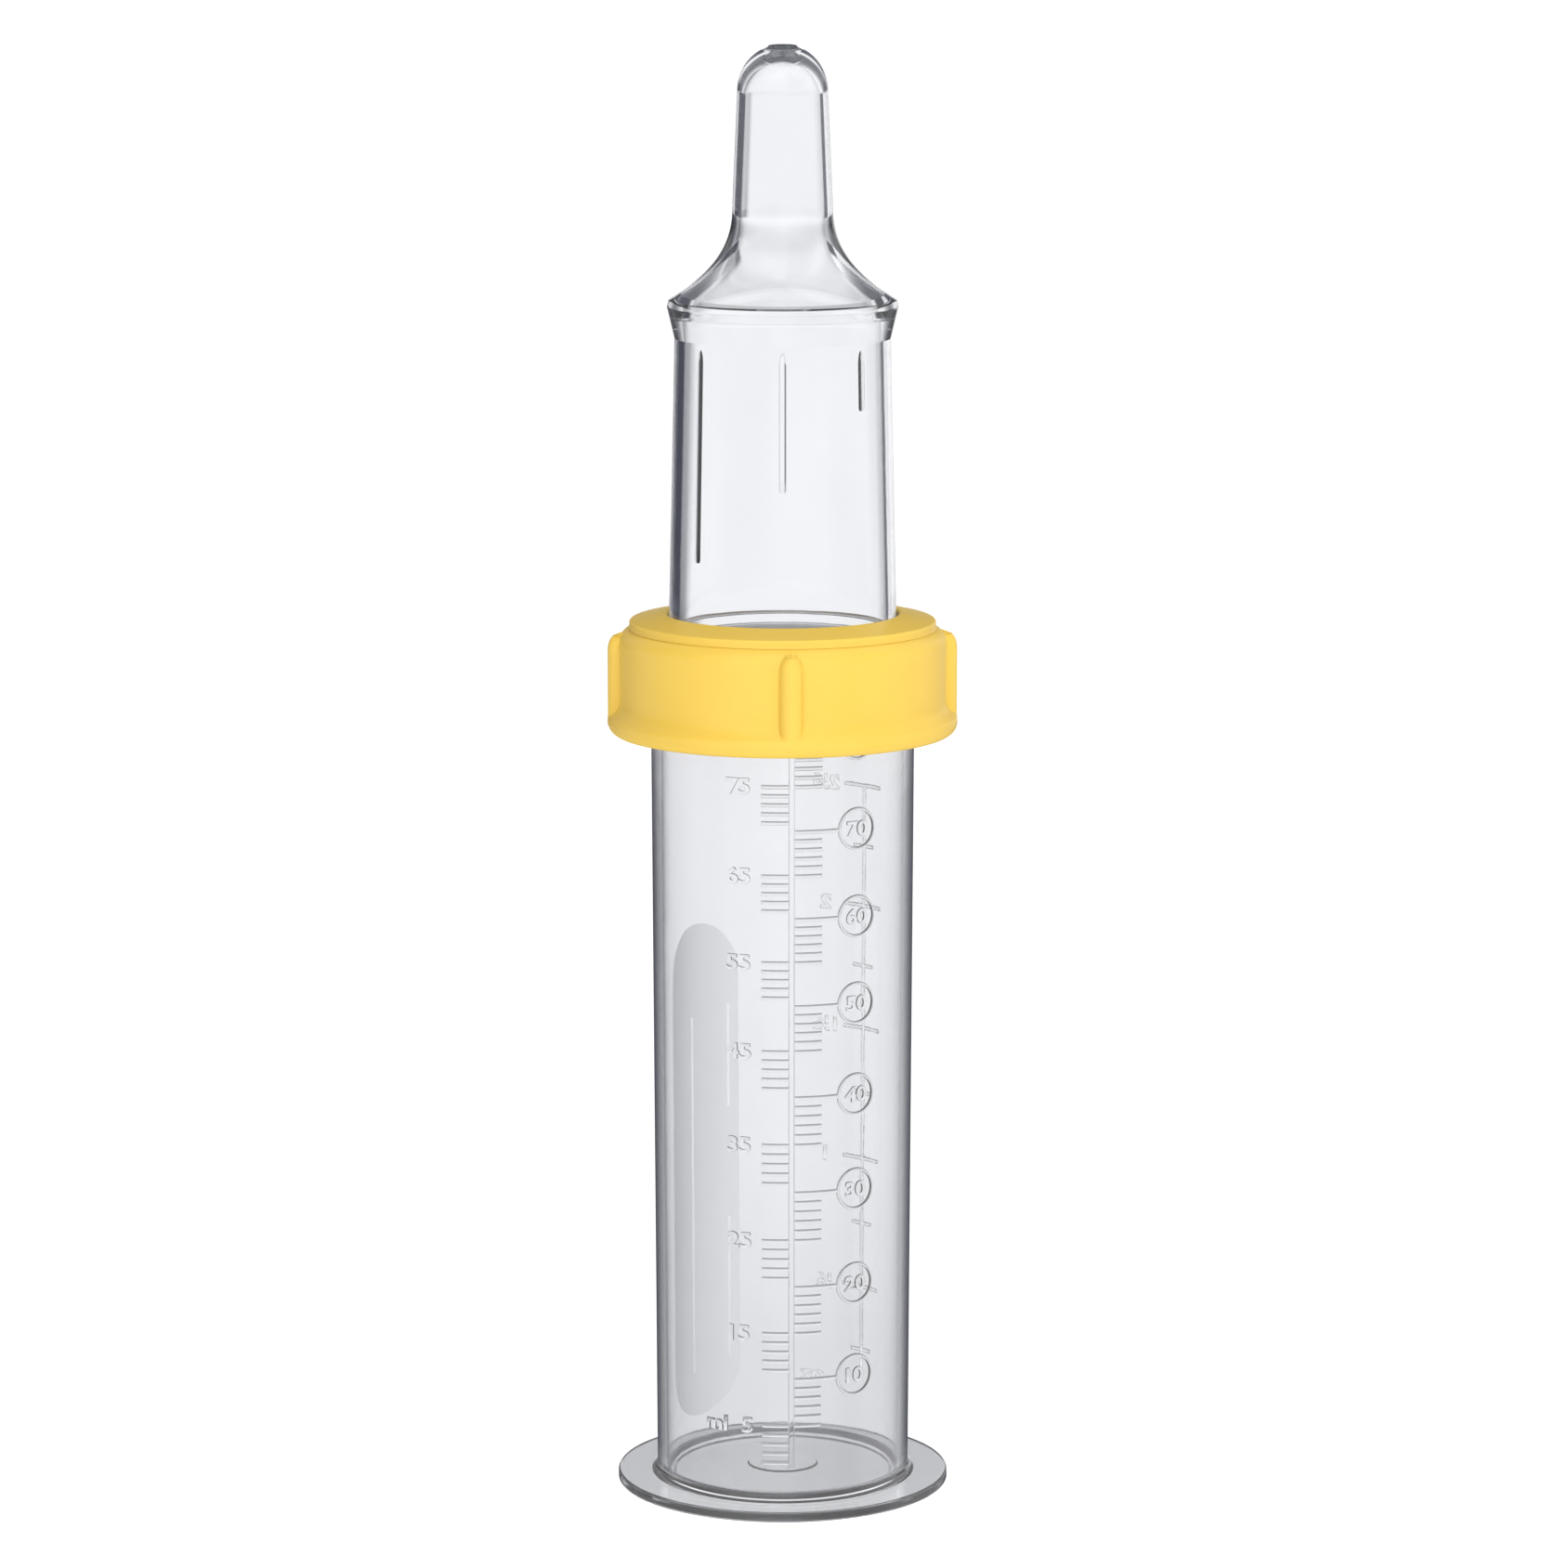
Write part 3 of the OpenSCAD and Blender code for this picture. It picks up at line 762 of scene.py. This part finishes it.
# ---------------------------------------------------------------- materials
class Nodes:
    """A material's node tree, with a principled shader, that helpers add to."""

    def __init__(self, name):
        self.material = bpy.data.materials.new(name)
        self.material.use_nodes = True
        self.tree = self.material.node_tree
        self.shader = next(n for n in self.tree.nodes if n.type == "BSDF_PRINCIPLED")
        self.place = self.add("ShaderNodeTexCoord").outputs["Object"]

    def add(self, kind, links=None, **settings):
        """A node; links gives its inputs by name or place, as values or as sockets."""
        node = self.tree.nodes.new(kind)
        for key, value in settings.items():
            setattr(node, key, value)
        for key, value in (links or {}).items():
            self.feed(node.inputs[key], value)
        return node

    def feed(self, socket, value):
        if isinstance(value, bpy.types.NodeSocket):
            self.tree.links.new(value, socket)
        else:
            socket.default_value = value

    def noise(self, per_metre, detail=3.0, rough=0.55, place=None):
        return self.add("ShaderNodeTexNoise", {"Vector": place or self.place, "Scale": per_metre, "Detail": detail,
                                               "Roughness": rough}).outputs["Fac"]

    def between(self, value, low, high):
        """A 0 to 1 value spread from low to high."""
        return self.add("ShaderNodeMapRange", {"Value": value, "From Min": 0.25, "From Max": 0.75,
                                               "To Min": low, "To Max": high}).outputs["Result"]

    def mix(self, value, a, b):
        node = self.add("ShaderNodeMix", data_type="RGBA")
        self.feed(node.inputs["Factor"], value)
        self.feed(node.inputs["A"], a)
        self.feed(node.inputs["B"], b)
        return node.outputs["Result"]

    def bump(self, height, depth_mm, strength=1.0, under=None):
        links = {"Strength": strength, "Distance": depth_mm * MM, "Height": height}
        if under:
            links["Normal"] = under
        return self.add("ShaderNodeBump", links).outputs["Normal"]

    def set(self, **values):
        """Sets the shader's sockets, with _ for a space in a name."""
        for key, value in values.items():
            self.feed(self.shader.inputs[key.replace("_", " ")], value)
        return self.material


def clear_moulding():
    """Clear, slightly milky polypropylene with a faint ripple from the mould."""
    n = Nodes("clear_moulding")
    haze = n.noise(90, 4)
    ripple = n.bump(n.noise(160, 2), 0.012)
    fine = n.bump(n.noise(2600, 2), 0.0012, under=ripple)
    return n.set(
        Base_Color=n.mix(n.between(haze, 0, 1), (0.965, 0.966, 0.970, 1), (0.945, 0.948, 0.955, 1)),
        Roughness=n.between(haze, 0.02, 0.05), Normal=fine,
        IOR=1.49, Transmission_Weight=0.96, Specular_IOR_Level=0.5,
    )


def matt_moulding():
    """The same plastic where the mould was roughened, so that a pen can write on it."""
    n = Nodes("matt_moulding")
    grain = n.noise(5200, 3)
    return n.set(
        Base_Color=n.mix(n.between(grain, 0, 1), (0.95, 0.955, 0.965, 1), (0.90, 0.91, 0.925, 1)),
        Roughness=n.between(grain, 0.42, 0.6), Normal=n.bump(grain, 0.02),
        IOR=1.49, Transmission_Weight=0.94,
    )


def clear_silicone():
    """Clear, soft silicone: very smooth, with faint streaks."""
    n = Nodes("clear_silicone")
    streaks = n.noise(120, 3)
    return n.set(
        Base_Color=n.mix(n.between(streaks, 0, 1), (0.985, 0.987, 0.99, 1), (0.965, 0.97, 0.975, 1)),
        Roughness=n.between(streaks, 0.02, 0.05), Normal=n.bump(n.noise(220, 2), 0.008),
        IOR=1.41, Transmission_Weight=0.985,
    )


def yellow_moulding():
    """Opaque satin polypropylene."""
    n = Nodes("yellow_moulding")
    cloud = n.noise(70, 3)
    grain = n.noise(3800, 3)
    return n.set(
        Base_Color=n.mix(n.between(cloud, 0, 1), (0.91, 0.62, 0.10, 1), (0.89, 0.595, 0.085, 1)),
        Roughness=n.between(grain, 0.34, 0.44), Normal=n.bump(grain, 0.004),
        IOR=1.49, Subsurface_Weight=0.06, Subsurface_Radius=(0.0012, 0.0007, 0.0003), Subsurface_Scale=1.0,
    )


def white_moulding():
    n = Nodes("white_moulding")
    grain = n.noise(2600, 3)
    return n.set(
        Base_Color=n.mix(n.between(n.noise(80), 0, 1), (0.86, 0.87, 0.88, 1), (0.80, 0.81, 0.83, 1)),
        Roughness=n.between(grain, 0.32, 0.42), Normal=n.bump(grain, 0.004),
        IOR=1.49, Transmission_Weight=0.25,
    )


def milky_silicone():
    n = Nodes("milky_silicone")
    cloud = n.noise(140, 3)
    return n.set(
        Base_Color=n.mix(n.between(cloud, 0, 1), (0.93, 0.94, 0.95, 1), (0.88, 0.89, 0.91, 1)),
        Roughness=n.between(cloud, 0.25, 0.38), Normal=n.bump(n.noise(900, 2), 0.006),
        IOR=1.41, Transmission_Weight=0.6,
    )


# ---------------------------------------------------------------- the pieces and their bodies
def place(piece, body, node, slot, *materials):
    for material in materials:
        piece.data.materials.append(material)
    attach(piece, body)
    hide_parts(node)


container = make_container()
matt = set(patch_faces(container.data))
for face in container.data.polygons:
    face.material_index = 1 if face.index in matt else 0
place(container, "container", "container", "clear_polypropylene", clear_moulding(), matt_moulding())
collar = make_collar()
place(collar, "collar", "collar", "yellow_polypropylene", yellow_moulding())
teat = make_teat()
place(teat, "head", "teat", "clear_silicone", clear_silicone())
disc = make_disc()
place(disc, "head", "valve_disc", "white_polypropylene", white_moulding())
membrane = make_membrane()
place(membrane, "membrane", "valve_membrane", "milky_silicone", milky_silicone())
for clear in (container, teat):
    clear.visible_shadow = False
# the photograph shows none of the collar through the teat's foot
collar.visible_transmission = False


# ---------------------------------------------------------------- floor, light and camera
scene = bpy.context.scene
scene.view_settings.view_transform = "Standard"

FLOOR_HALF = 6.0
floor = mesh_object("floor", [(x * FLOOR_HALF / MM, y * FLOOR_HALF / MM, -0.05) for x, y in
                              ((-1, -1), (1, -1), (1, 1), (-1, 1))], [(0, 1, 2, 3)])
floor.visible_transmission = False
floor.visible_glossy = False
paper = bpy.data.materials.new("floor_paper")
paper.use_nodes = True
tree = paper.node_tree
tree.nodes.clear()
diffuse = tree.nodes.new("ShaderNodeBsdfDiffuse")
diffuse.inputs["Color"].default_value = (0.5, 0.5, 0.5, 1)
glow = tree.nodes.new("ShaderNodeEmission")
glow.inputs["Strength"].default_value = 0.85
both = tree.nodes.new("ShaderNodeAddShader")
output = tree.nodes.new("ShaderNodeOutputMaterial")
tree.links.new(diffuse.outputs[0], both.inputs[0])
tree.links.new(glow.outputs[0], both.inputs[1])
tree.links.new(both.outputs[0], output.inputs["Surface"])
floor.data.materials.append(paper)


def studio_world():
    """White to the camera, bright where it is seen through clear plastic, and with dark screens where it is
    mirrored, which draw the plastic's dark edges."""
    world = bpy.data.worlds.new("studio")
    scene.world = world
    world.use_nodes = True
    tree = world.node_tree
    tree.nodes.clear()

    def add(kind, *values, **settings):
        node = tree.nodes.new(kind)
        for key, value in settings.items():
            setattr(node, key, value)
        for socket, value in zip(node.inputs, values):
            if isinstance(value, bpy.types.NodeSocket):
                tree.links.new(value, socket)
            elif value is not None:
                socket.default_value = value
        return node

    def maths(operation, *values):
        return add("ShaderNodeMath", *values, operation=operation).outputs[0]

    def curve(value, points):
        """Straight lines through (value, result) points."""
        low, high = points[0][0], points[-1][0]
        share = maths("DIVIDE", maths("SUBTRACT", value, low), high - low)
        ramp = add("ShaderNodeValToRGB", share)
        stops = ramp.color_ramp.elements
        for at, result in points[1:-1]:
            stops.new((at - low) / (high - low)).color = (result, result, result, 1)
        stops[0].color = (points[0][1],) * 3 + (1,)
        stops[len(stops) - 1].color = (points[-1][1],) * 3 + (1,)
        return add("ShaderNodeRGBToBW", ramp.outputs["Color"]).outputs[0]

    direction = add("ShaderNodeTexCoord").outputs["Generated"]
    x, y, z = add("ShaderNodeSeparateXYZ", direction).outputs
    turn = maths("DEGREES", maths("ARCTAN2", x, y))
    height = maths("DEGREES", maths("ARCSINE", z))
    ahead = curve(turn, AHEAD_CURVE)
    low = maths("SUBTRACT", 1.0, curve(height, FLOOR_CURVE))
    through = maths("SUBTRACT", curve(height, THROUGH_CURVE), maths("MULTIPLY", maths("MULTIPLY", low, ahead), 0.42))
    # the upper part has one dark screen on the left and a slim one on the right
    upper = curve(height, UPPER_CURVE)
    side = maths("SUBTRACT", 1.0, maths("MULTIPLY", upper, maths("SUBTRACT", 1.0, curve(turn, SIDE_CURVE))))
    screened = maths("MULTIPLY", curve(height, BARREL_CURVE), maths("SUBTRACT", 1.0, curve(turn, BARREL_SIDE_CURVE)))
    through = maths("MULTIPLY", maths("MULTIPLY", through, curve(turn, EDGE_CURVE)), maths("SUBTRACT", 1.0, screened))
    dark = 1.0
    for centre, points in SCREENS:
        off = maths("SUBTRACT", maths("MODULO", maths("ADD", turn, 540 - centre), 360), 180)
        dark = maths("MULTIPLY", dark, curve(off, points))
    lower = maths("SUBTRACT", 1.0, maths("MULTIPLY", maths("SUBTRACT", 1.0, upper), maths("SUBTRACT", 1.0, dark)))
    screens = maths("MULTIPLY", maths("MULTIPLY", lower, side), curve(height, MIRROR_CURVE))
    path = add("ShaderNodeLightPath")
    mirrored = maths("GREATER_THAN", path.outputs["Glossy Depth"], 0.5)
    scattered = maths("GREATER_THAN", path.outputs["Diffuse Depth"], 0.5)
    shown = add("ShaderNodeMix", mirrored, data_type="RGBA")
    for socket, level in (("A", through), ("B", screens)):
        bluish = add("ShaderNodeCombineColor", level, maths("ADD", level, 0.004), maths("ADD", level, 0.028))
        tree.links.new(bluish.outputs[0], shown.inputs[socket])
    around = curve(turn, AROUND_CURVE)
    lit = add("ShaderNodeMix", scattered, data_type="RGBA")
    tree.links.new(shown.outputs["Result"], lit.inputs["A"])
    tree.links.new(add("ShaderNodeCombineColor", around, around, around).outputs[0], lit.inputs["B"])
    seen = add("ShaderNodeBackground", lit.outputs["Result"], 1.0)
    plain = add("ShaderNodeBackground", (1, 1, 1, 1), 1.0)
    mixed = add("ShaderNodeMixShader", path.outputs["Is Camera Ray"], seen.outputs[0], plain.outputs[0])
    add("ShaderNodeOutputWorld", mixed.outputs[0])
    world.cycles.sampling_method = "NONE"


# These curves are set for the view from the front, and don't describe one real studio.
# Brightness by height above the horizon, of what is seen through clear plastic
THROUGH_CURVE = ((-90, 0.8), (-40, 0.8), (-17, 0.84), (-15.5, 0.84), (-13.5, 0.98), (-10, 1.04), (-8, 0.98), (-5, 0.91),
                 (3, 0.91), (12, 1.05), (30, 1.1), (50, 0.7), (90, 0.6))
# The floor's far part is dark straight ahead, which draws the upper edges of raised lines
FLOOR_CURVE = ((-90, 0.0), (-32, 0.0), (-25, 0.5), (-18.5, 1.0), (90, 1.0))
AHEAD_CURVE = ((-180, 0.0), (-50, 0.0), (-40, 1.0), (40, 1.0), (50, 0.0), (180, 0.0))
# Seen through clear plastic, it is darker to both sides, which draws upright edges
EDGE_CURVE = ((-180, 1.0), (-60, 1.0), (-45, 0.72), (-26, 0.72), (-19, 0.96), (-12, 1.0), (12, 1.0), (19, 0.96),
              (26, 0.72), (45, 0.72), (60, 1.0), (180, 1.0))
# Around the upper part, by azimuth from straight ahead
UPPER_CURVE = ((-90, 0.0), (-9, 0.0), (-7.5, 1.0), (4, 1.0), (9, 0.0), (90, 0.0))
SIDE_CURVE = ((-180, 1.0), (-60, 1.0), (-53, 0.05), (-16, 0.04), (-7, 1.0), (33, 1.0), (36, 0.07), (52, 0.07),
              (58, 1.0), (180, 1.0))
# The barrel also shows the left screen straight through its wall
BARREL_CURVE = ((-90, 0.0), (-9, 0.0), (-7.6, 1.0), (-4.3, 1.0), (-3.3, 0.6), (1, 0.6), (9, 0.0), (90, 0.0))
BARREL_SIDE_CURVE = ((-180, 1.0), (-60, 1.0), (-50, 0.15), (-15, 0.2), (-10, 1.0), (40, 1.0), (44, 0.35), (50, 0.35),
                     (56, 1.0), (180, 1.0))
# What lights the opaque pieces comes from the front and above, with darker sides
AROUND_CURVE = ((-180, 1.0), (-145, 0.9), (-110, 0.35), (-85, 0.12), (-60, 0.1), (60, 0.15), (85, 0.2), (110, 0.45),
                (145, 0.9), (180, 1.0))
# What is mirrored in the lower part is mostly dark screens, so that the plastic's edges are drawn dark
MIRROR_CURVE = ((-90, 0.35), (-30, 0.35), (-20, 0.5), (-10, 0.5), (-8.5, 1.0), (40, 1.0), (90, 0.9))
WIDE_SCREEN = ((-180, 1.0), (-40, 1.0), (-36, 0.85), (-30, 0.5), (-24, 0.28), (-17, 0.13), (17, 0.13), (24, 0.28),
               (30, 0.5), (36, 0.85), (40, 1.0), (180, 1.0))
SLIM_SCREEN = ((-180, 1.0), (-9, 1.0), (-5, 0.4), (5, 0.4), (9, 1.0), (180, 1.0))
SCREENS = ((0, WIDE_SCREEN), (-90, WIDE_SCREEN), (135, WIDE_SCREEN), (-45, SLIM_SCREEN))
studio_world()


def soft_light(name, place, target, size, watts):
    lamp = bpy.data.lights.new(name, "AREA")
    lamp.shape = "RECTANGLE"
    lamp.size, lamp.size_y = size
    lamp.energy = watts
    obj = bpy.data.objects.new(name, lamp)
    obj.location = place
    obj.rotation_euler = (Vector(target) - Vector(place)).to_track_quat("-Z", "Y").to_euler()
    obj.visible_transmission = False
    obj.visible_glossy = False
    scene.collection.objects.link(obj)


soft_light("overhead", (0.1, -0.15, 0.8), (0, 0, 0.1), (0.5, 0.5), 2.0)
soft_light("front", (0.3, -0.85, 0.4), (0, 0, 0.1), (0.4, 0.4), 1.8)

# The photograph's viewing angle: almost level, from 0.77 m away, tilted down a little
CAMERA_PLACE = (0.00018, -0.750, 0.223)
CAMERA_TILT = 80.39
CAMERA_LENS = 130.1
lens = bpy.data.cameras.new("camera")
lens.lens = CAMERA_LENS
lens.sensor_width = 36
camera = bpy.data.objects.new("camera", lens)
camera.location = CAMERA_PLACE
camera.rotation_euler = (math.radians(CAMERA_TILT), 0, 0)
scene.collection.objects.link(camera)
scene.camera = camera
